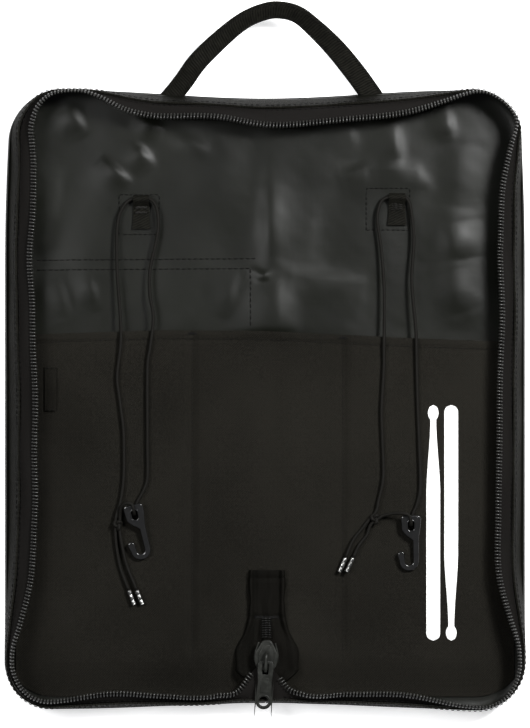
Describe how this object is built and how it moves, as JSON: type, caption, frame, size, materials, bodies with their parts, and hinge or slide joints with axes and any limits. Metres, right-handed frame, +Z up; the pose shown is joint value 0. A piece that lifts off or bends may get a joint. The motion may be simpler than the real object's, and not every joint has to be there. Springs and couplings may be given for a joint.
{
  "type": "drum stick bag",
  "caption": "Soft zip-round case that folds like a book, with stick pockets, bungee cords with hooks, an outside zip pocket and a webbing handle.",
  "frame": {"origin": "middle of the footprint of the open bag, on the surface it lies on", "axes": "+X to the right half, +Y to the handle, +Z up out of the open bag"},
  "size_m": [0.395, 0.5349, 0.0332],
  "materials": {
    "coated_nylon": "glossy coated back of a nylon sheet",
    "nylon": "matt oxford weave",
    "webbing": "ribbed polypropylene webbing",
    "zip_tape": "fine twill tape",
    "zip_teeth": "nylon coil",
    "cord": "braided elastic cord",
    "crimp_metal": "bright pressed metal",
    "hook_plastic": "moulded gloss",
    "slider_metal": "dark painted cast metal"
  },
  "bodies": {
    "left_half": {"left_shell": "coated_nylon", "left_gusset": "webbing", "left_zip_tape": "zip_tape", "left_zip_chain": "zip_teeth", "left_pocket": "nylon", "side_label": "nylon", "outer_pocket_panel": "nylon", "outer_zip_tape": "zip_tape", "left_cord_loop": "webbing", "left_cord": "cord", "left_knot": "cord", "left_tail_1": "cord", "left_tail_2": "cord", "left_crimp_1": "crimp_metal", "left_crimp_2": "crimp_metal", "handle_left": "webbing"},
    "spine": {"spine_shell": "coated_nylon", "centre_pocket": "nylon", "spine_far_gusset": "webbing", "spine_far_zip_tape": "zip_tape", "spine_far_zip_chain": "zip_teeth", "spine_near_left_gusset": "webbing", "spine_near_left_zip_tape": "zip_tape", "spine_near_left_zip_chain": "zip_teeth", "spine_near_right_gusset": "webbing", "spine_near_right_zip_tape": "zip_tape", "spine_near_right_zip_chain": "zip_teeth", "zip_garage": "nylon", "closed_teeth": "zip_teeth", "handle_top": "webbing"},
    "right_half": {"right_shell": "coated_nylon", "right_gusset": "webbing", "right_zip_tape": "zip_tape", "right_zip_chain": "zip_teeth", "right_pocket": "nylon", "right_cord_loop": "webbing", "right_cord": "cord", "right_knot": "cord", "right_tail_1": "cord", "right_tail_2": "cord", "right_crimp_1": "crimp_metal", "right_crimp_2": "crimp_metal", "handle_right": "webbing"},
    "slider": {"main_slider": "slider_metal"},
    "slider_pull": {"main_pull": "slider_metal"},
    "outer_zip_slider": {"outer_slider": "slider_metal"},
    "outer_zip_pull": {"outer_pull": "slider_metal"},
    "left_hook_body": {"left_hook": "hook_plastic"},
    "right_hook_body": {"right_hook": "hook_plastic"}
  },
  "joints": [
    {"name": "spine_fold_left", "type": "hinge", "parent": "left_half", "child": "spine", "pos_m": [-0.031, -0.0325, 0.00525], "axis": [0, -1, 0], "range_deg": [0, 90], "deforming": ["spine_far_gusset", "spine_far_zip_tape", "spine_far_zip_chain", "spine_near_left_gusset", "spine_near_left_zip_tape", "spine_near_left_zip_chain", "spine_near_right_gusset", "spine_near_right_zip_tape", "spine_near_right_zip_chain", "handle_top"]},
    {"name": "spine_fold_right", "type": "hinge", "parent": "spine", "child": "right_half", "pos_m": [0.031, -0.0325, 0.00525], "axis": [0, -1, 0], "range_deg": [0, 90]},
    {"name": "slider_travel", "type": "slide", "parent": "spine", "child": "slider", "axis": [0.061, 0.9981, 0], "range_m": [0, 0.012]},
    {"name": "slider_pull_swing", "type": "hinge", "parent": "slider", "child": "slider_pull", "pos_m": [0.00069, -0.22949, 0.0267], "axis": [-0.9981, 0.061, 0], "range_deg": [0, 120]},
    {"name": "outer_zip_travel", "type": "slide", "parent": "left_half", "child": "outer_zip_slider", "axis": [1, 0, 0], "range_m": [0, 0.098]},
    {"name": "outer_pull_swing", "type": "hinge", "parent": "outer_zip_slider", "child": "outer_zip_pull", "pos_m": [-0.147, 0.0707, 0.001], "axis": [0, 0, 1], "range_deg": [-60, 60]},
    {"name": "left_hook_swing", "type": "hinge", "parent": "left_half", "child": "left_hook_body", "pos_m": [-0.0985, -0.1189, 0.0178], "axis": [0, 0, 1], "range_deg": [-3, 25]},
    {"name": "right_hook_swing", "type": "hinge", "parent": "right_half", "child": "right_hook_body", "pos_m": [0.11, -0.1269, 0.0178], "axis": [0, 0, 1], "range_deg": [-20, 20]}
  ],
  "couplings": [
    {"joint": "spine_fold_right", "follows": "spine_fold_left", "ratio": 1}
  ]
}
